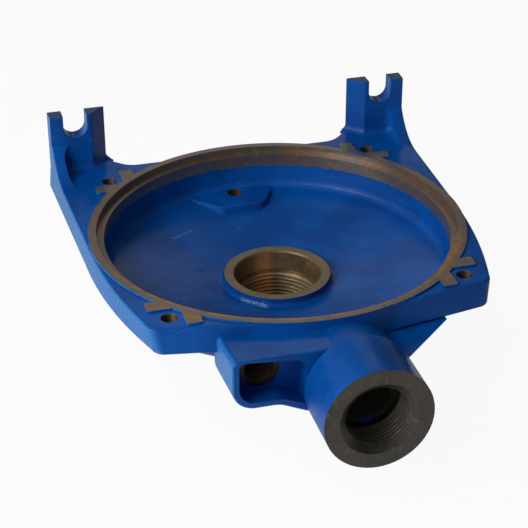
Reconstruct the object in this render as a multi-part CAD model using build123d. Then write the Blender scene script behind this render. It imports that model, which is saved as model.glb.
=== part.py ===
from build123d import *
from math import asin, atan, atan2, cos, degrees, radians, sin, sqrt, tan
import os

# A centrifugal pump cover: one iron casting, machined on the rim, the ports and the bolt pads.
# Millimetres. The origin is the centre of the rim's machined face; +Z is the pump's axis, towards
# the open side, +Y points to the feet and -Y along the discharge pipe.

half_square = radians(45)

# Rim: a flat land round the mouth, a spigot step and a turned register below it
rim_r = 95.0
land_width = 4.2
land_outer_r = rim_r + land_width
spigot_ledge = 3.95
register_r = rim_r - spigot_ledge
spigot_depth = 3.8
register_depth = 10.5
rim_draft = 1.0

# Bowl: cast wall, rounded corner and a shallow cone that falls towards the hub
wall_draft = 1.45
wall_foot_r = register_r - wall_draft
bowl_corner_z = -22.2
floor_slope = 0.185
bowl_corner_fillet = 5.0
haunch_wall = 5.9
wall_outer_r = wall_foot_r + haunch_wall
floor_wall = 5.6
haunch_fillet = 8.0

# Suction hub in the middle, threaded G 1 1/4 from the outside, with a turned ring seat inside
hub_r = 28.3
hub_top_z = -29.2
seat_r = 22.75
seat_depth = 12.3
seat_chamfer = 0.8
suction_minor_r = 19.48
suction_major_r = 20.96
suction_boss_r = 30.5
suction_face_z = -65.0
suction_boss_draft = 2.5
hub_root_fillet = 2.0
boss_root_fillet = 6.0

# Flange: a plate with drafted sides round the bowl
flange_top_z = -1.0
flange_thick = 13.0
flange_margin = 5.0
flange_half_width = rim_r + flange_margin
flange_side_r = 320.0
flange_side_inset = 23.0
flange_side_run = rim_r - flange_side_inset
flange_corner_r = 7.0
flange_front_x = 33.5
flange_front_inset = 2.35
flange_front_y = -(rim_r - flange_front_inset)
flange_front_slope = 10.2
flange_foot_side = 1.2
flange_foot_front = 3.2
flange_foot_side_r = 260.0
flange_rear_inset = 2.5
flange_rear_y = rim_r - flange_rear_inset
flange_rear_corner_r = 13.0
flange_top_round = 1.4
flange_bottom_round = 1.0

# Bolt holes on a square, tapped M8, each between two machined pads
bolt_offset = 7.15
bolt_circle_r = land_outer_r + bolt_offset
bolt_half = bolt_circle_r * cos(half_square)
bolt_minor_r = 3.4
bolt_mouth_r = 4.2
pad_start = 14.7
pad_low = bolt_half - pad_start
pad_width = 8.0
pad_finish = 9.3
pad_end = bolt_half + pad_finish
pad_corner = 1.5
pad_overreach = 1.95
pad_limit_r = bolt_circle_r + pad_overreach

# Feet: two upright plates with a slot open to the top, and a curved rib up the outer side
foot_reach = 8.7
foot_plane_y = rim_r + foot_reach
foot_thick = 8.7
foot_spread = 3.4
foot_outer_x = flange_half_width + foot_spread
foot_width = 31.9
foot_inner_x = foot_outer_x - foot_width
foot_top_z = 31.7
foot_edge_r = 1.2
foot_root_r = 4.0
rib_root_r = 5.0
slot_inset = 14.2
slot_x = foot_outer_x - slot_inset
slot_width = 13.0
slot_below_top = 6.7
slot_centre_z = foot_top_z - slot_below_top
rib_thick = 6.0
rib_length = 36.7
rib_turn = radians(59.49)
rib_radius = (rib_length - foot_thick) / sin(rib_turn)
rib_edge_r = 1.0

# Drain boss inside the bowl, with a G 1/8 hole through to a short boss outside
drain_x = -1.5
drain_wall_gap = 8.35
drain_y = register_r - drain_wall_gap
drain_top_z = -22.0
drain_r = 4.28
drain_front = 15.2
drain_front_turn = 1.0
drain_shoulder = 1.0
drain_left = 26.2
drain_left_front = 11.9
drain_right = 22.0
drain_right_front = 13.5
drain_front_left_r = 6.0
drain_front_right_r = 8.0
drain_shoulder_r = 2.0
drain_edge_r = 1.0
drain_outer_r = 10.5
drain_outer_z = -36.0
drain_slope = 12.0
drain_floor_overlap = 3.0

# Discharge pipe along -Y, threaded G 1
pipe_x = 4.8
pipe_z = -23.3
pipe_r = 26.6
pipe_reach = 57.0
pipe_end_y = -(rim_r + pipe_reach)
pipe_minor_r = 15.15
pipe_thread_length = 20.0
pipe_mouth_r = 19.0
pipe_mouth_depth = 3.2
barrel_length = 30.5
shoulder_y = pipe_end_y + barrel_length
shoulder_step = 2.0
neck_inset = 4.0
neck_y = -(rim_r - neck_inset)
neck_drop = 0.7
neck_half_width = 25.5
neck_half_height = 19.0
nose_inset = 23.0
nose_y = -(rim_r - nose_inset)
nose_drop = 3.2
nose_r = 12.5
passage_r = 12.5
passage_width = 24.0
passage_height = 12.0
passage_rise = 7.7
passage_inset = 10.0
passage_end_y = -(rim_r - passage_inset)
passage_corner = 5.5

# Pocket beside the pipe: a walled block with an open window and a plug hole in its back wall
pocket_reach = 25.0
pocket_front_y = -(rim_r + pocket_reach)
pocket_depth = 14.0
pocket_back_y = pocket_front_y + pocket_depth
pocket_root_inset = 9.0
pocket_root_y = -(rim_r - pocket_root_inset)
pocket_width = 36.0
pocket_in_pipe = 1.8
pocket_right_x = pipe_x - pipe_r + pocket_in_pipe
pocket_left_x = pocket_right_x - pocket_width
pocket_top_z = -2.4
pocket_height = 26.9
pocket_bottom_z = pocket_top_z - pocket_height
pocket_fall = 0.11
pocket_left_wall = 3.3
pocket_lip = 0.8
pocket_roof_fall = 0.1
pocket_bottom_wall = 3.2
pocket_corner_r = 11.5
pocket_top_corner_r = 3.5
pocket_inner_corner_r = 3.0
pocket_inner_end_r = 6.5
pocket_dip = 6.0
pocket_dip_start = 13.0
pocket_dip_r = 14.0
pocket_inner_dip = 1.7
pocket_inner_dip_r = 12.0
pocket_edge = 0.7
valley_r = 3.0
plug_inset = 16.7
plug_x = pocket_left_x + plug_inset
plug_drop = 15.0
plug_z = pocket_top_z - plug_drop
plug_minor_r = 5.72
plug_mouth_r = 7.3
plug_depth = 13.0
plug_drill_r = 4.5
plug_drill_inset = 15.0
plug_drill_end_y = -(rim_r - plug_drill_inset)
plug_spot_r = 9.5
plug_spot_depth = 0.6

# Oblique web between the flange and the right side of the pipe
web_outer_x = 60.2
web_in_flange = 0.6
web_outer_y = flange_front_y + web_in_flange
web_beside_pipe = 25.2
web_pipe_x = pipe_x + web_beside_pipe
web_behind_shoulder = 1.5
web_pipe_y = shoulder_y + web_behind_shoulder
web_top_z = -10.0
web_bottom_z = -14.5
web_slope = 38.0

node_name = "pump_cover"
seam_turn = 22.5
overlap = 1.0
tiny = 0.01


def outline(corners):
    """Flat face with straight runs between corners; each corner is (u, v, radius)."""
    points = [(u, v) for u, v, _ in corners]
    radii = [radius for _, _, radius in corners]
    return make_face(FilletPolyline(*points, radius=radii, close=True))


def turned(corners):
    """Solid turned about the pump's axis from a profile of (radius, height, corner radius). Its seam
    stands clear of the middle planes."""
    return Rot(0, 0, seam_turn) * revolve(Plane.XZ * outline(corners), Axis.Z)


def along_y(face, from_y, to_y):
    """Extrude a face drawn in (x, z) from one y to another."""
    return extrude(Plane((0, max(from_y, to_y), 0), (1, 0, 0), (0, -1, 0)) * face, abs(to_y - from_y))


def disc(x, y, z, radius, direction):
    """Round face centred at a point and square to a direction."""
    return Plane((x, y, z), z_dir=direction) * Circle(radius)


def both_sides(solid):
    """The solid and its mirror image across the middle plane."""
    return solid + mirror(solid, Plane.YZ)


def floor_z(radius):
    """Height of the bowl's conical floor at a distance from the axis."""
    return bowl_corner_z - floor_slope * (wall_foot_r - radius)


def under_z(radius):
    """Height of the bowl's underside, one wall thickness below its floor."""
    return floor_z(radius) - floor_wall / cos(atan(floor_slope))


def side_lean():
    """Angle between the flange's side and the direction of the feet, seen in plan."""
    return atan2(foot_spread, foot_plane_y)


def edges_near(solid, points):
    """The edge of the solid that runs closest to each of the points."""
    return [solid.edges().sort_by_distance(point)[0] for point in points]


def bowl_outside():
    """Everything the turned outer shape encloses, down to the suction boss's face."""
    flange_bottom_z = flange_top_z - flange_thick
    boss_root_r = suction_boss_r + suction_boss_draft
    return turned([
        (0, 0, 0),
        (land_outer_r, 0, 0),
        (land_outer_r + rim_draft, flange_bottom_z, 0),
        (wall_outer_r, flange_bottom_z, 0),
        (wall_outer_r, under_z(wall_outer_r), haunch_fillet),
        (boss_root_r, under_z(boss_root_r), boss_root_fillet),
        (suction_boss_r, suction_face_z, 0),
        (0, suction_face_z, 0),
    ])


def bowl_inside():
    """The hollow of the bowl, from above the rim down to the conical floor."""
    return turned([
        (0, overlap, 0),
        (rim_r, overlap, 0),
        (rim_r, -spigot_depth, 0),
        (register_r, -spigot_depth, 0),
        (register_r, -register_depth, 0),
        (wall_foot_r, bowl_corner_z, bowl_corner_fillet),
        (hub_r, floor_z(hub_r), hub_root_fillet),
        (hub_r, hub_top_z, 0),
        (0, hub_top_z, 0),
    ])


def flange_outline(height, side, front, side_r):
    """Plate outline in plan, grown by side and front: straight at the feet, one long arc down
    each side that ends in a straight run, and a front edge that slopes back to the corner."""
    lean = side_lean()
    turn = asin(sin(lean) + flange_side_run / side_r) - lean
    rear_corner_x = foot_inner_x - (foot_plane_y - flange_rear_y)
    rear_y = flange_rear_y + side
    front_y = flange_front_y - front
    slope = tan(radians(flange_front_slope))
    arc = JernArc((flange_half_width + side, 0), (-sin(lean), -cos(lean)), side_r, -degrees(turn))
    end = arc @ 1
    heading = arc % 1
    run = (end.Y - front_y - (end.X - flange_front_x) * slope) / (heading.X * slope - heading.Y)
    corner = end + heading * run
    half = Polyline((0, rear_y), (rear_corner_x - side, rear_y),
                    (foot_inner_x - side, foot_plane_y + side),
                    (foot_outer_x + side, foot_plane_y + side), arc @ 0)
    half += arc
    half += Polyline(end, corner, (flange_front_x, front_y), (0, front_y), (0, rear_y))
    face = make_face(half)
    rear = face.vertices().sort_by_distance((rear_corner_x - side, rear_y))[0]
    face = fillet(rear, flange_rear_corner_r)
    tip = face.vertices().sort_by_distance(corner)[0]
    face = fillet(tip, flange_corner_r)
    return Pos(0, 0, height) * face


def flange_plate():
    """Plate between its top and its wider bottom outline, both sides, with rounded edges."""
    bottom_z = flange_top_z - flange_thick
    top = flange_outline(flange_top_z, 0, 0, flange_side_r)
    bottom = flange_outline(bottom_z, flange_foot_side, flange_foot_front, flange_foot_side_r)
    plate = both_sides(loft([top, bottom], ruled=True))
    levels = plate.edges().filter_by(lambda edge: edge.bounding_box().size.Z < tiny)
    levels = levels.filter_by(lambda edge: edge.center().Y < flange_rear_y)
    plate = fillet(levels.filter_by(lambda edge: edge.center().Z > bottom_z + tiny), flange_top_round)
    levels = plate.edges().filter_by(lambda edge: edge.bounding_box().size.Z < tiny)
    levels = levels.filter_by(lambda edge: edge.center().Y < flange_rear_y)
    plate = fillet(levels.filter_by(lambda edge: edge.center().Z < bottom_z + tiny), flange_bottom_round)
    return plate & in_front_of_foot_plane()


def in_front_of_foot_plane():
    """Half space in front of the plane that the feet stand on."""
    reach = 4 * land_outer_r
    return Pos(0, foot_plane_y - reach / 2, 0) * Box(reach, reach, reach)


def foot():
    """Right foot: plate with a 45 degree inner edge, open slot, outer rib and rounded roots."""
    lean = side_lean()
    front_y = foot_plane_y - foot_thick
    bottom_z = flange_top_z - flange_thick
    plan = outline([
        (foot_inner_x, foot_plane_y, 0),
        (foot_inner_x + foot_thick, front_y, foot_edge_r),
        (foot_outer_x - foot_thick * tan(lean), front_y, 0),
        (foot_outer_x, foot_plane_y, 0),
    ])
    plate = extrude(Pos(0, 0, bottom_z) * plan, foot_top_z - bottom_z)
    slot = outline([
        (slot_x - slot_width / 2, slot_centre_z - slot_width / 2, slot_width / 2 - tiny),
        (slot_x + slot_width / 2, slot_centre_z - slot_width / 2, slot_width / 2 - tiny),
        (slot_x + slot_width / 2, foot_top_z + overlap, 0),
        (slot_x - slot_width / 2, foot_top_z + overlap, 0),
    ])
    plate -= along_y(slot, front_y - overlap, foot_plane_y + overlap)
    front = plate.edges().filter_by(lambda edge: edge.bounding_box().max.Y < foot_plane_y - tiny)
    notch = front.filter_by(lambda edge: edge.bounding_box().min.Z > slot_centre_z - slot_width)
    plate = fillet(notch, foot_edge_r / 2)
    plate += under_rib_edge(rib_thick)
    rib_middle_y = front_y - (rib_length - foot_thick) / 2
    rib_middle_x = foot_outer_x - (foot_plane_y - rib_middle_y) * tan(lean)
    corner_x = foot_outer_x - rib_thick / cos(lean) - foot_thick * tan(lean)
    plate = fillet(edges_near(plate, [(corner_x, front_y, 0)]), rib_root_r)
    plate = fillet(edges_near(plate, [(rib_middle_x, rib_middle_y, rib_rise(rib_length / 2))]), rib_edge_r)
    return plate + foot_root()


def rib_rise(distance):
    """Height of the rib's top edge at a distance in front of the foot plane."""
    return flange_top_z + rib_radius - sqrt(rib_radius ** 2 - (rib_length - distance) ** 2)


def under_rib_edge(width):
    """Everything below the arc of the rib's top edge, from the foot's outer side inwards."""
    lean = side_lean()
    side = Plane((foot_outer_x, foot_plane_y, 0), (sin(lean), cos(lean), 0), (cos(lean), -sin(lean), 0))
    low_z = flange_top_z - 2 * flange_top_round
    with BuildLine() as edge:
        arc = RadiusArc((-rib_length, flange_top_z), (-foot_thick, rib_rise(foot_thick)), -rib_radius)
        Polyline(arc @ 1, (0, (arc @ 1).Y), (0, low_z), (-rib_length, low_z), arc @ 0)
    return extrude(side * make_face(edge.line), -width)


def foot_root():
    """Concave fillet where the foot's inner and front faces and the rib stand on the flange."""
    lean = side_lean()
    front_y = foot_plane_y - foot_thick
    corner_x = foot_outer_x - rib_thick / cos(lean) - foot_thick * tan(lean)
    run = rib_length - foot_thick
    path = FilletPolyline(
        (foot_inner_x - overlap, foot_plane_y + overlap),
        (foot_inner_x + foot_thick, front_y),
        (corner_x, front_y),
        (corner_x - run * tan(lean), front_y - run),
        radius=[foot_edge_r, rib_root_r])
    path = Pos(0, 0, flange_top_z) * path
    outwards = (-sin(half_square), -sin(half_square), 0)
    across = Plane(path @ 0, outwards, path % 0 * -1)
    short = foot_root_r * (1 - cos(half_square))
    with BuildLine() as edge:
        arc = ThreePointArc((foot_root_r, 0), (short, short), (0, foot_root_r))
        Polyline(arc @ 1, (-overlap, foot_root_r), (-overlap, -overlap), (foot_root_r, -overlap), arc @ 0)
    root = sweep(across * make_face(edge.line), path=path)
    return root & under_rib_edge(2 * foot_width)


def bolt_pads():
    """Two raised pads beside one bolt hole, mirror images across its diagonal."""
    length = pad_end - pad_low
    middle = pad_low + pad_width / 2
    height = flange_thick / 2
    along_x = Pos(pad_low + length / 2, middle, 0) * Rectangle(length, pad_width)
    along_x = fillet(along_x.vertices().group_by(Axis.X)[-1], pad_corner)
    pads = extrude(along_x + mirror(along_x, Plane((0, 0, 0), z_dir=(1, -1, 0))), -height)
    return pads & Pos(0, 0, -height) * Cylinder(pad_limit_r, 2 * height)


def on_corners(solid):
    """The solid repeated at the four corners of the bolt square."""
    right = solid + mirror(solid, Plane.XZ)
    return both_sides(right)


def bolt_hole():
    """Tapping drill through the flange with a countersunk mouth."""
    mouth = bolt_mouth_r - bolt_minor_r
    top = flange_top_z
    drill = Pos(bolt_half, bolt_half, -flange_thick / 2) * Cylinder(bolt_minor_r, 2 * flange_thick)
    sink = Pos(bolt_half, bolt_half, top - mouth / 2) * Cone(bolt_minor_r, bolt_mouth_r, mouth)
    return drill + sink


def drain_boss():
    """Flat-topped boss on the bowl's floor, drafted, running into the wall."""
    shoulder_y = drain_y - drain_shoulder
    front_left_y = drain_y - drain_front - drain_front_turn
    front_right_y = drain_y - drain_front
    plan = outline([
        (drain_x - drain_left, shoulder_y, drain_shoulder_r),
        (drain_x - drain_left_front, front_left_y, drain_front_left_r),
        (drain_x + drain_right_front, front_right_y, drain_front_right_r),
        (drain_x + drain_right, drain_y, drain_shoulder_r),
        (drain_x + drain_right, wall_foot_r, 0),
        (drain_x - drain_right, wall_foot_r, 0),
    ])
    drop = drain_top_z - floor_z(0)
    boss = extrude(Pos(0, 0, drain_top_z) * plan, drop, dir=(0, 0, -1), taper=-drain_slope)
    top = boss.edges().filter_by(lambda edge: edge.bounding_box().min.Z > drain_top_z - tiny)
    boss = fillet(top.filter_by(lambda edge: edge.center().Y < drain_y + drain_edge_r), drain_edge_r)
    below = turned([
        (0, drain_top_z, 0),
        (register_r, drain_top_z, 0),
        (wall_foot_r, floor_z(wall_foot_r) - drain_floor_overlap, 0),
        (0, floor_z(0) - drain_floor_overlap, 0),
    ])
    return boss & below


def drain_outside():
    """Short round boss under the bowl that gives the drain thread its length."""
    height = floor_z(drain_y) - drain_outer_z
    return Pos(drain_x, drain_y, drain_outer_z + height / 2) * Cylinder(drain_outer_r, height)


def drain_hole():
    """Hole through both drain bosses."""
    return Pos(drain_x, drain_y, (drain_top_z + drain_outer_z) / 2) * Cylinder(drain_r, 2 * flange_thick)


def ring(y, z, half_width, half_height):
    """Oval face across the pipe's direction."""
    return Plane((pipe_x, y, z), (1, 0, 0), (0, -1, 0)) * Ellipse(half_width, half_height)


def pipe_neck():
    """Oval section where the pipe's root meets the bowl's wall."""
    return ring(neck_y, pipe_z - neck_drop, neck_half_width, neck_half_height)


def pipe_outside():
    """Round pipe and a root, a step smaller, that widens to an oval at the bowl's wall."""
    root_r = pipe_r - shoulder_step
    barrel = extrude(disc(pipe_x, shoulder_y, pipe_z, pipe_r, (0, -1, 0)), shoulder_y - pipe_end_y)
    return barrel + loft([ring(shoulder_y, pipe_z, root_r, root_r), pipe_neck()])


def pipe_nose():
    """Rounded end of the pipe's passage under the bowl's floor."""
    nose_z = pipe_z - nose_drop
    cone = loft([pipe_neck(), ring(nose_y, nose_z, nose_r, nose_r)])
    return cone + Pos(pipe_x, nose_y, nose_z) * Sphere(nose_r)


def pipe_bore():
    """Chamfered mouth, thread length and cast passage that flattens into the bowl's wall."""
    thread_end_y = pipe_end_y + pipe_thread_length
    mouth = loft([disc(pipe_x, pipe_end_y, pipe_z, pipe_mouth_r, (0, 1, 0)),
                  disc(pipe_x, pipe_end_y + pipe_mouth_depth, pipe_z, pipe_minor_r, (0, 1, 0))])
    thread = extrude(disc(pipe_x, pipe_end_y, pipe_z, pipe_minor_r, (0, 1, 0)), pipe_thread_length)
    port = Plane((pipe_x, passage_end_y, pipe_z + passage_rise), (1, 0, 0), (0, 1, 0))
    passage = loft([disc(pipe_x, thread_end_y, pipe_z, passage_r, (0, 1, 0)),
                    port * RectangleRounded(passage_width, passage_height, passage_corner)])
    return mouth + thread + passage


def back_from_front(face, length):
    """Extrude a face drawn in the pocket's front plane backwards, falling a little as it goes."""
    front = Plane((0, pocket_front_y, 0), (1, 0, 0), (0, -1, 0))
    return extrude(front * face, length, dir=(0, 1, -pocket_fall))


def pocket_block():
    """Block beside the pipe, its bottom edge curving down into the pipe."""
    dip_x = pocket_right_x - pocket_dip_start
    dip_z = pocket_bottom_z - pocket_dip
    section = outline([
        (pocket_left_x, pocket_top_z, pocket_top_corner_r),
        (pocket_left_x, pocket_bottom_z, pocket_corner_r),
        (dip_x, pocket_bottom_z, pocket_dip_r),
        (pocket_right_x, dip_z, 0),
        (pipe_x, dip_z, 0),
        (pipe_x, pocket_top_z, 0),
    ])
    return back_from_front(section, pocket_root_y - pocket_front_y)


def pocket_and_pipe():
    """Hollow block and pipe as one, with a broken front edge and a rounded valley between them."""
    block = pocket_block()
    front = block.edges().filter_by(lambda edge: edge.bounding_box().max.Y < pocket_front_y + tiny)
    block = chamfer(front.filter_by(lambda edge: edge.center().X < pocket_right_x), pocket_edge)
    joined = block - pocket_hollow() + pipe_outside()
    valley = ((pocket_right_x + pipe_x) / 2, pocket_back_y, pocket_top_z - pocket_fall * pocket_depth)
    return fillet(edges_near(joined, [valley]), valley_r) + pipe_nose()


def pocket_hollow():
    """Space inside the block, open at the front; the roof falls towards the pipe."""
    left = pocket_left_x + pocket_left_wall
    roof_z = pocket_top_z - pocket_lip
    floor = pocket_bottom_z + pocket_bottom_wall
    inner_dip_x = pocket_right_x - pocket_dip_start + pocket_lip
    section = outline([
        (left, roof_z, pocket_inner_corner_r),
        (left, floor, pocket_corner_r - pocket_left_wall),
        (inner_dip_x, floor, pocket_inner_dip_r),
        (pocket_right_x, floor - pocket_inner_dip - pocket_bottom_wall, 0),
        (pocket_right_x, roof_z - pocket_roof_fall * (pocket_right_x - left), pocket_inner_end_r),
    ])
    return back_from_front(section, pocket_back_y - pocket_front_y)


def plug_hole():
    """Spot face, countersunk thread length and drilled hole from the pocket into the bowl."""
    spot_y = pocket_back_y + plug_spot_depth
    inwards = (0, 1, 0)
    spot = extrude(disc(plug_x, pocket_back_y - overlap, plug_z, plug_spot_r, inwards),
                   overlap + plug_spot_depth)
    sink = loft([disc(plug_x, spot_y, plug_z, plug_mouth_r, inwards),
                 disc(plug_x, spot_y + plug_mouth_r - plug_minor_r, plug_z, plug_minor_r, inwards)])
    thread = extrude(disc(plug_x, spot_y, plug_z, plug_minor_r, inwards), plug_depth)
    drill = extrude(disc(plug_x, spot_y, plug_z, plug_drill_r, inwards), plug_drill_end_y - spot_y)
    return spot + sink + thread + drill


def oblique_web():
    """Thin web whose sloping outer edge runs at about 43 degrees from the flange to the pipe."""
    plan = outline([
        (web_outer_x, web_outer_y, 0),
        (web_pipe_x, web_pipe_y, 0),
        (pipe_x, web_pipe_y, 0),
        (pipe_x, pocket_root_y, 0),
        (web_outer_x, pocket_root_y, 0),
    ])
    return extrude(Pos(0, 0, web_bottom_z) * plan, web_top_z - web_bottom_z, taper=web_slope)


def suction_bore():
    """Ring seat from above, thread from below, a chamfer at each mouth."""
    seat_end_z = hub_top_z - seat_depth
    return turned([
        (0, hub_top_z + overlap, 0),
        (seat_r + seat_chamfer + overlap, hub_top_z + overlap, 0),
        (seat_r, hub_top_z - seat_chamfer, 0),
        (seat_r, seat_end_z, 0),
        (suction_major_r, seat_end_z, 0),
        (suction_minor_r, seat_end_z + suction_minor_r - suction_major_r, 0),
        (suction_minor_r, suction_face_z + suction_major_r - suction_minor_r, 0),
        (suction_major_r, suction_face_z, 0),
        (suction_major_r, suction_face_z - overlap, 0),
        (0, suction_face_z - overlap, 0),
    ])


def pump_cover():
    """The casting: outer shape, then its hollows, then inner bosses, then machining."""
    body = bowl_outside() + flange_plate() + pocket_and_pipe() + oblique_web() + drain_outside()
    body += both_sides(foot()) & in_front_of_foot_plane()
    body += on_corners(bolt_pads())
    body -= bowl_inside()
    body += drain_boss()
    body -= suction_bore() + pipe_bore() + plug_hole() + drain_hole()
    body -= on_corners(bolt_hole())
    return body


os.makedirs("parts", exist_ok=True)
cover = pump_cover()
cover.label = node_name
export_step(cover, f"parts/{node_name}.step")
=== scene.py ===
from math import cos, pi, radians, sin

import bmesh
import bpy
import numpy as np
from mathutils import Matrix, Vector


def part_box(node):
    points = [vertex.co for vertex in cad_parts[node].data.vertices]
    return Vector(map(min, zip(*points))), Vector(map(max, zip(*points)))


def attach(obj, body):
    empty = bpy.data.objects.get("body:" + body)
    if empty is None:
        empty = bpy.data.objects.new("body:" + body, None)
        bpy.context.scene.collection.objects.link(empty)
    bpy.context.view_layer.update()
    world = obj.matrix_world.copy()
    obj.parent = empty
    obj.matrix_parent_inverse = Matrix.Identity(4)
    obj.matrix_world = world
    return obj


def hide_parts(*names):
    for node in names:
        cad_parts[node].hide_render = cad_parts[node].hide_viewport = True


# A cast iron pump cover: blue gloss enamel on the sand-cast skin, bare turned iron on the rim, the hub,
# the pipe's end and in the holes. The frame is metres, with the origin in the rim's machined plane.

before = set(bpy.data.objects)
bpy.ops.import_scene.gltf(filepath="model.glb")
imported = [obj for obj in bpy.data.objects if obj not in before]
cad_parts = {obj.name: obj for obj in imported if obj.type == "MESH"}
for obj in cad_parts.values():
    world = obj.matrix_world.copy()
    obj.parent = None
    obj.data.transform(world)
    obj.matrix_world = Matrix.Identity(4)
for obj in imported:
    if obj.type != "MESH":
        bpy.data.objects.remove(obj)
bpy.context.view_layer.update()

MM = 0.001

# Places on the casting that the finishes and the threads share
RIM_LAND_R = 99.2 * MM
RIM_R = 95.0 * MM
REGISTER_R = 91.05 * MM
REGISTER_END_Z = -10.5 * MM
PAD_LOW = 60.5 * MM
PAD_HIGH = 68.5 * MM
PAD_END = 84.5 * MM
BOLT_HALF = 75.2 * MM
BOLT_FINISH_R = 4.4 * MM
BOLT_FINISH_TOP_Z = -1.0 * MM
HUB_R = 28.3 * MM
HUB_TOP_Z = -29.2 * MM
SEAT_R = 22.75 * MM
BOSS_END_Z = -65.0 * MM
PIPE_X = 4.8 * MM
PIPE_Z = -23.3 * MM
PIPE_END_Y = -152.0 * MM
PIPE_MOUTH_R = 19.0 * MM
THREAD_END_Y = -131.95 * MM
PASSAGE_END_Y = -85.0 * MM
PASSAGE_HALF_WIDTH = 12.7 * MM
PASSAGE_HALF_HEIGHT = 13.0 * MM
PASSAGE_NARROWING = 6.5 * MM
PASSAGE_RISE = 7.7 * MM
PLUG_X = -39.3 * MM
PLUG_Z = -17.4 * MM
PLUG_FACE_Y = -105.4 * MM
PLUG_END_Y = -80.0 * MM
PLUG_SPOT_R = 9.5 * MM
DRAIN_X = -1.5 * MM
DRAIN_Y = 82.7 * MM
DRAIN_FINISH_R = 5.0 * MM
FOOT_TOP_Z = 31.7 * MM
NEAR = 0.03 * MM

# Threads: pitch, tapping radius, outer radius, points round a turn and rows to a pitch
G_1_1_4 = (2.309 * MM, 19.48 * MM, 20.96 * MM, 96, 8)
G_1 = (2.309 * MM, 15.15 * MM, 16.63 * MM, 96, 8)
G_1_4 = (1.337 * MM, 5.72 * MM, 6.58 * MM, 48, 8)
G_1_8 = (0.907 * MM, 4.28 * MM, 4.86 * MM, 40, 6)
M8 = (1.25 * MM, 3.4 * MM, 4.0 * MM, 40, 6)
THREAD_FLAT = 0.12
THREAD_FADE = 0.6
TAP_PLAY = 0.02 * MM
TAP_DIP = 0.5 * MM
SHARP_EDGE = radians(28)

# Marks on the enamel, a scratch and a painted streak of speckled sheen: start, direction in plan and length
SCRATCH = ((-47.0 * MM, 46.5 * MM), (0.871, 0.491), 15.8 * MM)
# Painted sheen: the second mark is a streak of pale specks standing in for lamp light on the sand grain below
# the hub.
SHEEN_STREAK = ((-24.0 * MM, -16.0 * MM), (0.685, -0.728), 17.5 * MM)
CAST_MARK_X = -74.0 * MM
CAST_MARK_Z = -0.5 * MM
CAST_MARK_R = 3.9 * MM

# Finishes: cloud colours of the enamel, and of each iron its two grounds, its stain and its tool marks
ENAMEL_TINTS = ("#004a9c", "#0057af")
RIM_TINTS = ("#908a82", "#a48e7a", "#cda178", "#59514b")
HUB_TINTS = ("#95866a", "#8e7b5b", "#ba9066", "#50483b")
PIPE_TINTS = ("#4c4a47", "#54504a", "#756649", "#302e2b")
HOLE_TINTS = ("#4f463b", "#5b4936", "#7b5a3c", "#2b2620")
COPPER = "#d09a66"

# Studio: how white the floor is to the eye and in reflections, and the world's strengths
FLOOR_HALF = 4.0
FLOOR_SEEN = 0.93
FLOOR_MIRRORED = 0.35
ROOM_GLOW = 0.06
WINDOW_GLOW = 0.32
CEILING_GLOW = 0.15
HORIZON_GLOW = 0.15

USUAL_SETTINGS = {"MapRange": {"interpolation_type": "SMOOTHSTEP"}, "Mix": {"data_type": "RGBA"}}


def linear(hex_colour):
    """sRGB hex to linear RGBA."""
    srgb = np.array([int(hex_colour[i:i + 2], 16) for i in (1, 3, 5)]) / 255.0
    rgb = np.where(srgb <= 0.04045, srgb / 12.92, ((srgb + 0.055) / 1.055) ** 2.4)
    return (*rgb.tolist(), 1.0)


def add_node(m, kind, *values, output=0, **named):
    """Adds one shader node and returns one of its outputs. Values fill its inputs in order; a name like i6,
    or one with a capital, is an input too, and any other name is a setting. A value may be another node's
    output."""
    node = m.node_tree.nodes.new("ShaderNode" + kind)
    inputs = dict(enumerate(values))
    for name, value in (USUAL_SETTINGS.get(kind, {}) | named).items():
        if name[0].isupper():
            inputs[name] = value
        elif name[0] == "i" and name[1:].isdigit():
            inputs[int(name[1:])] = value
        else:
            setattr(node, name, value)
    for name, value in inputs.items():
        if isinstance(value, bpy.types.NodeSocket):
            m.node_tree.links.new(value, node.inputs[name])
        else:
            node.inputs[name].default_value = value
    return node.outputs[output] if node.outputs else None


def new_material(name):
    material = bpy.data.materials.new(name)
    material.use_nodes = True
    material.node_tree.nodes.clear()
    return material


def finish_material(material, shader):
    add_node(material, "OutputMaterial", Surface=shader)
    return material


def axes(m):
    """Object coordinates, whole and as x, y and z."""
    place = add_node(m, "TexCoord", output="Object")
    x, y, z = add_node(m, "SeparateXYZ", place).node.outputs
    return place, x, y, z


def distance_from_axis(m, u, v, centre_u=0.0, centre_v=0.0):
    """Distance of the point (u, v) from a centre: the root of the sum of the two squares."""
    du = add_node(m, "Math", u, centre_u, operation="SUBTRACT")
    dv = add_node(m, "Math", v, centre_v, operation="SUBTRACT")
    du_square = add_node(m, "Math", du, du, operation="MULTIPLY")
    dv_square = add_node(m, "Math", dv, dv, operation="MULTIPLY")
    return add_node(m, "Math", add_node(m, "Math", du_square, dv_square, operation="ADD"), operation="SQRT")


def overlap(m, *masks):
    """Where several masks meet: their product."""
    share = masks[0]
    for mask in masks[1:]:
        share = add_node(m, "Math", share, mask, operation="MULTIPLY")
    return share


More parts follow.
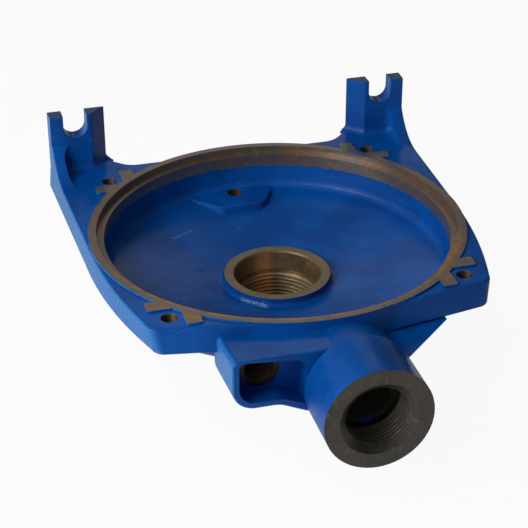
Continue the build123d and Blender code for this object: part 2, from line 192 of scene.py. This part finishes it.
def run_mask(m, place, x, y, mark, width):
    """Points near one straight mark. The point's offset from the start is split along and across the mark's
    direction, and noise lets the edge wander."""
    (start_x, start_y), (run_x, run_y), length = mark
    dx = add_node(m, "Math", x, start_x, operation="SUBTRACT")
    dy = add_node(m, "Math", y, start_y, operation="SUBTRACT")
    dy_along = add_node(m, "Math", dy, run_y, operation="MULTIPLY")
    dx_across = add_node(m, "Math", dx, -run_y, operation="MULTIPLY")
    along = add_node(m, "Math", dx, run_x, dy_along, operation="MULTIPLY_ADD")
    across = add_node(m, "Math", dy, run_x, dx_across, operation="MULTIPLY_ADD")
    lumps = add_node(m, "TexNoise", Vector=place, Scale=1 / (2 * MM), Detail=3.0, Roughness=0.7)
    wander = add_node(m, "Math", lumps, 2.4 * MM, -1.2 * MM, operation="MULTIPLY_ADD")
    off = add_node(m, "Math", add_node(m, "Math", across, wander, operation="ADD"), operation="ABSOLUTE")
    return overlap(m, add_node(m, "MapRange", off, width, 0.4 * width),
                   add_node(m, "MapRange", along, -1 * MM, 0.5 * MM),
                   add_node(m, "MapRange", along, length, length - 2 * MM))


def cast_mark_height(m, x, y, z):
    """The half ring that the pattern left on the flange's front edge: a narrow band at one distance from its
    centre, below it."""
    away = distance_from_axis(m, x, z, CAST_MARK_X, CAST_MARK_Z)
    past = add_node(m, "Math", away, CAST_MARK_R, operation="SUBTRACT")
    off = add_node(m, "Math", past, operation="ABSOLUTE")
    return overlap(m, add_node(m, "MapRange", off, 0.4 * MM, 0.1 * MM),
                   add_node(m, "MapRange", z, -1.5 * MM, -2.5 * MM),
                   add_node(m, "MapRange", y, -80 * MM, -88 * MM))


def enamel_colour(m, place, x, y, facing, side):
    """Deep blue in soft clouds. The sides carry painted sheen specks, those facing left a painted pale sheen,
    and the bowl's floor has a scrape, a painted streak of speckled sheen by the hub and a few pale specks."""
    clouds = add_node(m, "MapRange", add_node(m, "TexNoise", Vector=place, Scale=1 / (28 * MM)), 0.35, 0.65)
    colour = add_node(m, "Mix", clouds, i6=linear(ENAMEL_TINTS[0]), i7=linear(ENAMEL_TINTS[1]), output=2)
    grains = add_node(m, "TexNoise", Vector=place, Scale=1 / (0.9 * MM), Detail=3.0, Roughness=0.6)
    # Painted sheen: pale blue specks on the sides stand in for sand grains catching the light.
    side_sheen_specks = overlap(m, add_node(m, "MapRange", grains, 0.56, 0.72), side, 0.3)
    colour = add_node(m, "Mix", side_sheen_specks, i6=colour, i7=linear("#4f96cf"), output=2)

    # Painted sheen: faces turned left, on the left half, are made pale blue where the lamp's light falls, broken
    # by a speckled grain.
    left_sheen_grain = add_node(m, "TexNoise", Vector=place, Scale=1 / (1.3 * MM), Detail=4.0, Roughness=0.7)
    left_sheen_grain = add_node(m, "Math", add_node(m, "MapRange", left_sheen_grain, 0.4, 0.65), 0.4, 0.3, operation="MULTIPLY_ADD")
    painted_left_sheen = overlap(m, add_node(m, "MapRange", facing[0], -0.3, -0.85),
                    add_node(m, "MapRange", x, -25 * MM, -45 * MM), left_sheen_grain)
    colour = add_node(m, "Mix", painted_left_sheen, i6=colour, i7=linear("#3f93d8"), output=2)

    upward = add_node(m, "MapRange", facing[2], 0.3, 0.6)
    scraped = overlap(m, run_mask(m, place, x, y, SCRATCH, 0.6 * MM), upward, 0.8)
    colour = add_node(m, "Mix", scraped, i6=colour, i7=linear("#2f8ade"), output=2)
    # Painted sheen: pale specks along the streak below the hub, where lamp light catches the grain.
    sheen_sparkle_grain = add_node(m, "TexNoise", Vector=place, Scale=1 / (0.5 * MM))
    painted_sheen_streak = overlap(m, run_mask(m, place, x, y, SHEEN_STREAK, 1.8 * MM),
                   add_node(m, "MapRange", sheen_sparkle_grain, 0.48, 0.6), upward, 0.65)
    colour = add_node(m, "Mix", painted_sheen_streak, i6=colour, i7=linear("#b4cde2"), output=2)

    nib = add_node(m, "TexVoronoi", Vector=place, Scale=1 / (6.5 * MM), output="Distance")
    picked = add_node(m, "SeparateColor", nib.node.outputs["Color"])
    speck = overlap(m, add_node(m, "MapRange", nib, 0.08, 0.035),
                    add_node(m, "MapRange", picked, 0.66, 0.7), 0.55)
    return add_node(m, "Mix", speck, i6=colour, i7=linear("#74aee2"), output=2)


def enamel_relief(m, place, x, y, z, side):
    """Sand's grain on the sides, brush dimples, slow swells, nibs and the pattern's mark, as one height."""
    grain = add_node(m, "TexNoise", Vector=place, Scale=1 / (0.75 * MM), Detail=3.0, Roughness=0.65)
    strength = add_node(m, "Math", side, 0.26, 0.02, operation="MULTIPLY_ADD")
    dimples = add_node(m, "TexNoise", Vector=place, Scale=1 / (5 * MM), Detail=3.0)
    swells = add_node(m, "TexNoise", Vector=place, Scale=1 / (22 * MM), Detail=1.0)
    nib = add_node(m, "TexVoronoi", Vector=place, Scale=1 / (6.5 * MM), output="Distance")
    height = add_node(m, "Math", grain, strength, operation="MULTIPLY")
    for relief, share in ((dimples, 0.16), (swells, 0.5), (add_node(m, "MapRange", nib, 0.07, 0.0), 0.12),
                          (cast_mark_height(m, x, y, z), 0.3)):
        height = add_node(m, "Math", relief, share, height, operation="MULTIPLY_ADD")
    return add_node(m, "Bump", Strength=1.0, Distance=1.0 * MM, Height=height)


def enamel_surface(m, place, x, y, z):
    """Shader of gloss enamel brushed on sand-cast iron: deep blue and shiny, with the sand's grain showing
    on the drafted sides, soft dimples on the flat tops and a few nibs that catch the light."""
    facing = add_node(m, "SeparateXYZ", add_node(m, "TexCoord", output="Normal")).node.outputs
    side = add_node(m, "MapRange", add_node(m, "Math", facing[2], operation="ABSOLUTE"), 0.8, 0.4)
    return add_node(m, "BsdfPrincipled", **{
        "Base Color": enamel_colour(m, place, x, y, facing, side),
        "Roughness": add_node(m, "Math", side, 0.1, 0.25, operation="MULTIPLY_ADD"),
        "IOR": 1.45, "Specular IOR Level": 0.25, "Normal": enamel_relief(m, place, x, y, z, side)})


def blue_enamel():
    """The painted skin of the casting."""
    m = new_material("blue_gloss_enamel_on_sand_cast_iron")
    return finish_material(m, enamel_surface(m, *axes(m)))


def turned_iron(name, radius, depth, tints, rough=0.38, bare=None, copper_stain_and_sheen=None):
    """Bare turned iron under a film of brown oxide and oil: metallic, with fine tool marks round its axis
    and stains from olive grey to copper. radius and depth are functions that read the point. bare reads how
    far the point lies inside the machined face, whose ragged rim the enamel runs over. The last argument reads
    the share of bright copper, partly copper stain and partly painted warm sheen and highlight."""
    m = new_material(name)
    place, x, y, z = axes(m)
    ground, second_ground, stain, tool_mark = map(linear, tints)
    out_marks = add_node(m, "Math", radius(m, x, y, z), 1 / (0.45 * MM), operation="MULTIPLY")
    down_marks = add_node(m, "Math", depth(m, x, y, z), 1 / (0.4 * MM), operation="MULTIPLY")
    track = add_node(m, "Math", out_marks, down_marks, operation="ADD")
    marks = add_node(m, "TexNoise", noise_dimensions="1D", W=track, Scale=1.0, Detail=2.0)
    spots = add_node(m, "TexNoise", Vector=place, Scale=1 / (3.2 * MM), Detail=4.0, Roughness=0.65)
    clouds = add_node(m, "TexNoise", Vector=place, Scale=1 / (26 * MM), Detail=3.0, Roughness=0.6)
    colour = add_node(m, "Mix", add_node(m, "MapRange", clouds, 0.38, 0.62), i6=ground, i7=second_ground,
                      output=2)
    colour = add_node(m, "Mix", add_node(m, "MapRange", spots, 0.52, 0.74), i6=colour, i7=stain, output=2)
    marked = overlap(m, add_node(m, "MapRange", marks, 0.35, 0.75), 0.35)
    colour = add_node(m, "Mix", marked, i6=colour, i7=tool_mark, output=2)
    if copper_stain_and_sheen is not None:
        # Copper mix: partly copper stain, partly painted warm sheen and highlight.
        colour = add_node(m, "Mix", copper_stain_and_sheen(m, place, x, y, z), i6=colour, i7=linear(COPPER), output=2)
    shader = add_node(m, "BsdfPrincipled", **{
        "Base Color": colour, "Metallic": 0.8,
        "Roughness": add_node(m, "Math", spots, 0.25, rough - 0.12, operation="MULTIPLY_ADD"),
        "Normal": add_node(m, "Bump", Strength=0.35, Distance=0.08 * MM, Height=marks)})
    if bare is None:
        return finish_material(m, shader)
    lumps = add_node(m, "TexNoise", Vector=place, Scale=1 / (2.6 * MM), Detail=3.0, Roughness=0.6)
    ragged = add_node(m, "Math", lumps, 4.5 * MM, -2.35 * MM, operation="MULTIPLY_ADD")
    inside = add_node(m, "Math", bare(m, x, y, z), ragged, operation="SUBTRACT")
    shown = add_node(m, "MapRange", inside, 0.0, 0.15 * MM)
    return finish_material(m, add_node(m, "MixShader", shown, enamel_surface(m, place, x, y, z), shader))


def worn_enamel():
    """Enamel worn away in patches on the sawn tops of the feet: olive grey iron shows through the blue."""
    m = new_material("worn_enamel_on_sawn_iron")
    place = axes(m)[0]
    patches = add_node(m, "TexNoise", Vector=place, Scale=1 / (3.5 * MM), Detail=4.0, Roughness=0.65)
    worn = add_node(m, "MapRange", patches, 0.42, 0.58)
    saw_marks = add_node(m, "TexNoise", Vector=place, Scale=1 / (1.2 * MM), Detail=3.0)
    return finish_material(m, add_node(m, "BsdfPrincipled", **{
        "Base Color": add_node(m, "Mix", worn, i6=linear("#1b4d86"), i7=linear("#50564c"), output=2),
        "Roughness": 0.45, "Normal": add_node(m, "Bump", Strength=0.5, Distance=0.3 * MM, Height=saw_marks)}))


def cast_passage():
    """Unpainted cast skin in the pipe's passage: dark and rough."""
    m = new_material("raw_cast_iron_skin")
    place = axes(m)[0]
    patches = add_node(m, "TexNoise", Vector=place, Scale=1 / (4 * MM), Detail=3.0)
    sand = add_node(m, "TexNoise", Vector=place, Scale=1 / (1.1 * MM), Detail=3.0)
    return finish_material(m, add_node(m, "BsdfPrincipled", **{
        "Base Color": add_node(m, "Mix", patches, i6=linear("#2b2723"), i7=linear("#4a3f35"), output=2),
        "Roughness": 0.75, "Normal": add_node(m, "Bump", Strength=0.6, Distance=0.4 * MM, Height=sand)}))


def pale_floor():
    """White paper under the cover. The camera sees it glow nearly white, so that little but the cover's shadow
    shows; the enamel and the iron reflect it dimmer, as the unlit paper beyond the lamp would be."""
    m = new_material("white_paper_floor")
    rays = add_node(m, "LightPath").node.outputs
    mirrored = add_node(m, "Math", rays["Is Glossy Ray"], rays["Is Transmission Ray"], operation="MAXIMUM")
    to_eye = add_node(m, "Math", rays["Is Camera Ray"], FLOOR_SEEN, operation="MULTIPLY")
    to_mirror = add_node(m, "Math", mirrored, FLOOR_MIRRORED, operation="MULTIPLY")
    seen = add_node(m, "Math", to_eye, to_mirror, operation="MAXIMUM")
    paper = add_node(m, "BsdfDiffuse", linear("#f4f4f4"))
    glow = add_node(m, "Emission", (1, 1, 1, 1), 1.0)
    return finish_material(m, add_node(m, "MixShader", seen, paper, glow))


# The casting, copied from the solid so that its threads can be cut
def casting_copy():
    """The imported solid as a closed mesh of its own."""
    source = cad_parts["pump_cover"]
    shape = bmesh.new()
    shape.from_mesh(source.data)
    bmesh.ops.transform(shape, matrix=source.matrix_world, verts=shape.verts)
    bmesh.ops.remove_doubles(shape, verts=shape.verts, dist=1e-6)
    bmesh.ops.dissolve_degenerate(shape, edges=shape.edges, dist=1e-7)
    mesh = bpy.data.meshes.new("cover_casting")
    shape.to_mesh(mesh)
    shape.free()
    piece = bpy.data.objects.new("cover_casting", mesh)
    bpy.context.scene.collection.objects.link(piece)
    return piece


def thread_tap(place, direction, length, thread, fade=False):
    """Closed tap mesh for a right-hand thread. The vertex of row r and column c lies at height
    pitch * (r / rows to a pitch + c / columns) along the axis, at a radius that rises from the tapping to the
    outer radius and falls back once per pitch. With a fade, the last turn and a half shrink to inside the
    bore."""
    pitch, minor_r, major_r, segments, steps = thread
    rows = int(np.ceil(length / pitch)) * steps
    row, column = np.meshgrid(np.arange(rows + 1), np.arange(segments), indexing="ij")
    height = pitch * (row / steps + column / segments)
    from_crest = np.abs(2 * (row % steps) / steps - 1)
    tooth = np.clip((1 - THREAD_FLAT - from_crest) / (1 - 2 * THREAD_FLAT), 0, 1)
    full = np.clip((length - height) / pitch - THREAD_FADE, -THREAD_FADE, 1) if fade else np.ones_like(height)
    radius = (minor_r + TAP_PLAY + (major_r - minor_r) * tooth * np.maximum(full, 0)
              + TAP_DIP * np.minimum(full, 0))
    angle = 2 * pi * column / segments
    axis = Vector(direction)
    across = axis.orthogonal().normalized()
    other = axis.cross(across)
    points = (np.array(place) + height[..., None] * np.array(axis)
              + (radius * np.cos(angle))[..., None] * np.array(across)
              + (radius * np.sin(angle))[..., None] * np.array(other)).reshape(-1, 3)
    finish = np.array(place) + np.array(axis) * (rows / steps + 1) * pitch
    points = np.concatenate([points, [np.array(place)], [finish]])
    low, high = len(points) - 2, len(points) - 1
    index = np.arange((rows + 1) * segments).reshape(rows + 1, segments)
    top = rows - steps
    plain = np.stack([index[:-1, :-1], index[:-1, 1:], index[1:, 1:], index[1:, :-1]], -1).reshape(-1, 4)
    seam = np.stack([index[:top, -1], index[steps:rows, 0], index[steps + 1:, 0], index[1:top + 1, -1]], -1)
    first = np.concatenate([index[0], index[steps:0:-1, 0]])
    last = np.concatenate([index[top:rows, -1], index[rows, ::-1]])
    caps = [(int(loop[k]), end, int(loop[(k + 1) % len(loop)])) for loop, end in ((first, low), (last, high))
            for k in range(len(loop))]
    mesh = bpy.data.meshes.new("tap")
    mesh.from_pydata(points.tolist(), [], np.concatenate([plain, seam]).tolist() + caps)
    shape = bmesh.new()
    shape.from_mesh(mesh)
    bmesh.ops.triangulate(shape, faces=shape.faces)
    bmesh.ops.recalc_face_normals(shape, faces=shape.faces)
    shape.to_mesh(mesh)
    shape.free()
    tap = bpy.data.objects.new("tap", mesh)
    bpy.context.scene.collection.objects.link(tap)
    return tap


def cut_thread(piece, tap):
    """Takes the tap's volume out of the piece and deletes the tap."""
    modifier = piece.modifiers.new("thread", "BOOLEAN")
    modifier.operation = "DIFFERENCE"
    modifier.solver = "MANIFOLD"
    modifier.object = tap
    graph = bpy.context.evaluated_depsgraph_get()
    made = bpy.data.meshes.new_from_object(piece.evaluated_get(graph))
    piece.modifiers.clear()
    piece.data = made
    bpy.data.objects.remove(tap, do_unlink=True)


def smooth_shading(piece, limit):
    """Smooth faces, with edges that turn more than the limit kept sharp and large flats weighted."""
    shape = bmesh.new()
    shape.from_mesh(piece.data)
    for face in shape.faces:
        face.smooth = True
    for edge in shape.edges:
        edge.smooth = edge.calc_face_angle(pi) < limit
    shape.to_mesh(piece.data)
    shape.free()
    weighted = piece.modifiers.new("weighted_normals", "WEIGHTED_NORMAL")
    weighted.mode = "FACE_AREA"
    weighted.keep_sharp = True


def rim_radius(m, x, y, z):
    return distance_from_axis(m, x, y)


def rim_depth(m, x, y, z):
    return z


def inside_rim_face(m, x, y, z):
    """How far a point lies inside the land or a bolt pad, or above the register's lower edge."""
    out_x = add_node(m, "Math", x, operation="ABSOLUTE")
    out_y = add_node(m, "Math", y, operation="ABSOLUTE")
    long_way = add_node(m, "Math", out_x, out_y, operation="MAXIMUM")
    short_way = add_node(m, "Math", out_x, out_y, operation="MINIMUM")
    from_side = add_node(m, "Math", PAD_HIGH, short_way, operation="SUBTRACT")
    from_end = add_node(m, "Math", PAD_END, long_way, operation="SUBTRACT")
    from_other_side = add_node(m, "Math", short_way, PAD_LOW, operation="SUBTRACT")
    pad = add_node(m, "Math", add_node(m, "Math", from_side, from_end, operation="MINIMUM"), from_other_side,
                   operation="MINIMUM")
    land = add_node(m, "Math", RIM_LAND_R, distance_from_axis(m, x, y), operation="SUBTRACT")
    above = add_node(m, "Math", z, REGISTER_END_Z, operation="SUBTRACT")
    return add_node(m, "Math", add_node(m, "Math", pad, land, operation="MAXIMUM"), above, operation="MINIMUM")


def inside_hub_face(m, x, y, z):
    """How far a point lies inside the hub's outer edge."""
    return add_node(m, "Math", HUB_R + 0.6 * MM, distance_from_axis(m, x, y), operation="SUBTRACT")


def copper_stain_and_sheen_rim(m, place, x, y, z):
    """Copper along the land's inner edge and on the pads of the front half: partly copper stain, partly a
    painted warm reflection.
    """
    away = distance_from_axis(m, x, y)
    edge = add_node(m, "MapRange", away, 97.2 * MM, 95.8 * MM)
    pads = overlap(m, add_node(m, "MapRange", away, RIM_LAND_R, RIM_LAND_R + 2 * MM), 0.6)
    patches = add_node(m, "TexNoise", Vector=place, Scale=1 / (7 * MM), Detail=3.0)
    return overlap(m, add_node(m, "Math", edge, pads, operation="MAXIMUM"),
                   add_node(m, "MapRange", patches, 0.35, 0.6),
                   # The ramp over y keeps the painted warm reflection to the front half.
                   add_node(m, "MapRange", y, -10 * MM, -50 * MM), 0.85)


def painted_highlight_hub(m, place, x, y, z):
    """A painted copper highlight streak runs down the rear of the hub's bore."""
    off = add_node(m, "Math", add_node(m, "Math", x, 2 * MM, operation="ADD"), operation="ABSOLUTE")
    return overlap(m, add_node(m, "MapRange", off, 7 * MM, 2 * MM),
                   add_node(m, "MapRange", y, 12 * MM, 18 * MM),
                   add_node(m, "MapRange", z, -29.5 * MM, -30.5 * MM), 0.9)


def pipe_radius(m, x, y, z):
    return distance_from_axis(m, x, z, PIPE_X, PIPE_Z)


def pipe_depth(m, x, y, z):
    return y


def give_finishes(piece, finishes):
    """Sets each face's material by where the face lies: turned rim, hub and pipe end, holes, feet's tops,
    raw passage, and enamel on the rest."""
    mesh = piece.data
    centre = np.empty(len(mesh.polygons) * 3)
    normal = np.empty(len(mesh.polygons) * 3)
    mesh.polygons.foreach_get("center", centre)
    mesh.polygons.foreach_get("normal", normal)
    x, y, z = centre.reshape(-1, 3).T
    up = normal.reshape(-1, 3)[:, 2]
    from_axis = np.hypot(x, y)
    from_pipe = np.hypot(x - PIPE_X, z - PIPE_Z)
    from_plug = np.hypot(x - PLUG_X, z - PLUG_Z)
    from_bolt = np.hypot(np.abs(x) - BOLT_HALF, np.abs(y) - BOLT_HALF)
    from_drain = np.hypot(x - DRAIN_X, y - DRAIN_Y)
    land = (np.abs(z) < NEAR) & (up > 0.999) & ((from_axis < RIM_LAND_R) | (np.abs(x) > PAD_LOW))
    register = ((from_axis > REGISTER_R - 0.5 * MM) & (from_axis < RIM_R + NEAR)
                & (z > REGISTER_END_Z + NEAR) & (z < 0))
    ring = (np.abs(z - HUB_TOP_Z) < NEAR) & (from_axis < HUB_R)
    hub_bore = (from_axis < SEAT_R + 1 * MM) & (z < HUB_TOP_Z)
    boss = (np.abs(z - BOSS_END_Z) < NEAR) & (up < -0.9)
    pipe = (y < THREAD_END_Y) & ((from_pipe < PIPE_MOUTH_R) | (y < PIPE_END_Y + NEAR))
    along = np.clip((y - THREAD_END_Y) / (PASSAGE_END_Y - THREAD_END_Y), 0, 1)
    passage = ((y > THREAD_END_Y) & (y < PASSAGE_END_Y + NEAR) & (np.abs(x - PIPE_X) < PASSAGE_HALF_WIDTH)
               & (np.abs(z - PIPE_Z - PASSAGE_RISE * along) < PASSAGE_HALF_HEIGHT - PASSAGE_NARROWING * along))
    plug = (from_plug < PLUG_SPOT_R + NEAR) & (y > PLUG_FACE_Y - NEAR) & (y < PLUG_END_Y)
    bolt = (from_bolt < BOLT_FINISH_R) & (up < 0.9) & (z < BOLT_FINISH_TOP_Z)
    drain = (from_drain < DRAIN_FINISH_R) & (np.abs(up) < 0.9)
    foot_top = np.abs(z - FOOT_TOP_Z) < NEAR
    slots = np.zeros(len(mesh.polygons), dtype=np.int32)
    for number, where in enumerate((land | register, ring | hub_bore | boss, pipe, plug | bolt | drain, foot_top,
                                    passage), start=1):
        slots[where] = number
    mesh.materials.clear()
    for finish in finishes:
        mesh.materials.append(finish)
    mesh.polygons.foreach_set("material_index", slots)


# Threads: G 1 1/4 in the hub, G 1 in the pipe, G 1/4 in the pocket, G 1/8 in the drain, M8 in the flange.
# Each tap starts a little outside its hole.
piece = casting_copy()
cut_thread(piece, thread_tap((0, 0, -67.5 * MM), (0, 0, 1), 27 * MM, G_1_1_4))
cut_thread(piece, thread_tap((PIPE_X, PIPE_END_Y - 1.5 * MM, PIPE_Z), (0, 1, 0), 20.5 * MM, G_1, fade=True))
cut_thread(piece, thread_tap((PLUG_X, PLUG_FACE_Y - 0.5 * MM, PLUG_Z), (0, 1, 0), 12.9 * MM, G_1_4,
                             fade=True))
cut_thread(piece, thread_tap((DRAIN_X, DRAIN_Y, -37 * MM), (0, 0, 1), 16.5 * MM, G_1_8))
for x_sign in (-1, 1):
    for y_sign in (-1, 1):
        corner = (x_sign * BOLT_HALF, y_sign * BOLT_HALF, -15.5 * MM)
        cut_thread(piece, thread_tap(corner, (0, 0, 1), 15 * MM, M8))
smooth_shading(piece, SHARP_EDGE)
give_finishes(piece, [
    blue_enamel(),
    turned_iron("turned_iron_rim_with_brown_oxide", rim_radius, rim_depth, RIM_TINTS, bare=inside_rim_face,
                copper_stain_and_sheen=copper_stain_and_sheen_rim),
    turned_iron("turned_iron_hub_under_olive_oil", rim_radius, rim_depth, HUB_TINTS, bare=inside_hub_face,
                copper_stain_and_sheen=painted_highlight_hub),
    turned_iron("faced_iron_pipe_end", pipe_radius, pipe_depth, PIPE_TINTS),
    turned_iron("tapped_iron_in_the_holes", pipe_radius, rim_depth, HOLE_TINTS, 0.5),
    worn_enamel(),
    cast_passage(),
])
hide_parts("pump_cover")
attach(piece, "root")

# The floor the cover lies on
low_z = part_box("pump_cover")[0].z
floor_mesh = bpy.data.meshes.new("floor")
floor_mesh.from_pydata([(-FLOOR_HALF, -FLOOR_HALF, low_z), (FLOOR_HALF, -FLOOR_HALF, low_z),
                        (FLOOR_HALF, FLOOR_HALF, low_z), (-FLOOR_HALF, FLOOR_HALF, low_z)], [], [(0, 1, 2, 3)])
floor = bpy.data.objects.new("floor", floor_mesh)
bpy.context.scene.collection.objects.link(floor)
floor_mesh.materials.append(pale_floor())


def soft_light(name, place, aim, size, power):
    """Square area lamp at a place, turned to face a point."""
    lamp = bpy.data.lights.new(name, "AREA")
    lamp.size = size
    lamp.energy = power
    holder = bpy.data.objects.new(name, lamp)
    holder.location = place
    holder.rotation_euler = (Vector(aim) - Vector(place)).to_track_quat("-Z", "Y").to_euler()
    bpy.context.scene.collection.objects.link(holder)


soft_light("key_left", (-0.75, -0.32, 0.44), (0, 0, -0.02), 0.5, 5.2)
soft_light("fill_back", (0.37, 1.34, 0.79), (0, 0, -0.02), 0.5, 0.5)

# Dim studio that is lit like a wide window on the left, with a little from the ceiling and the far horizon
world = bpy.data.worlds.new("studio")
world.use_nodes = True
world.node_tree.nodes.clear()
sky = add_node(world, "TexCoord", output="Generated")
sky_x, sky_y, sky_z = add_node(world, "SeparateXYZ", sky).node.outputs
window = overlap(world, add_node(world, "MapRange", sky_x, 0.3, -0.8),
                 add_node(world, "MapRange", sky_z, -0.2, 0.4), WINDOW_GLOW)
ceiling = overlap(world, add_node(world, "MapRange", sky_z, 0.5, 1.0), CEILING_GLOW)
horizon = overlap(world, add_node(world, "MapRange", sky_y, 0.3, 0.9),
                  add_node(world, "MapRange", sky_z, 0.35, 0.05), HORIZON_GLOW)
glow = ROOM_GLOW
for lobe in (horizon, ceiling, window):
    glow = add_node(world, "Math", lobe, glow, operation="ADD")
add_node(world, "OutputWorld", Surface=add_node(world, "Background", (1, 1, 1, 1), glow))
bpy.context.scene.world = world

# Camera, solved from the rim, hub and pipe circles of the photograph
VIEW_TURN = radians(-15.5545)
VIEW_RISE = radians(29.614)
VIEW_ROLL = radians(-0.1768)
VIEW_FOCAL_PX = 1609.3
FRAME_PX = 528
SENSOR_MM = 36.0
VIEW_SHIFT = (0.0737 * RIM_R, 0.2225 * RIM_R)
VIEW_DISTANCE = 8.9 * RIM_R


def add_camera():
    """Camera that looks along the solved direction, moved sideways in its own plane."""
    back = Vector((sin(VIEW_TURN) * cos(VIEW_RISE), -cos(VIEW_TURN) * cos(VIEW_RISE), sin(VIEW_RISE)))
    level = Vector((cos(VIEW_TURN), sin(VIEW_TURN), 0))
    rise = back.cross(level)
    right = cos(VIEW_ROLL) * level + sin(VIEW_ROLL) * rise
    up = cos(VIEW_ROLL) * rise - sin(VIEW_ROLL) * level
    lens = bpy.data.cameras.new("camera")
    lens.sensor_width = SENSOR_MM
    lens.lens = VIEW_FOCAL_PX / FRAME_PX * SENSOR_MM
    camera = bpy.data.objects.new("camera", lens)
    place = back * VIEW_DISTANCE - right * VIEW_SHIFT[0] - up * VIEW_SHIFT[1]
    camera.matrix_world = Matrix((
        (right.x, up.x, back.x, place.x),
        (right.y, up.y, back.y, place.y),
        (right.z, up.z, back.z, place.z),
        (0, 0, 0, 1)))
    bpy.context.scene.collection.objects.link(camera)
    bpy.context.scene.camera = camera


add_camera()
bpy.context.scene.view_settings.view_transform = "Standard"
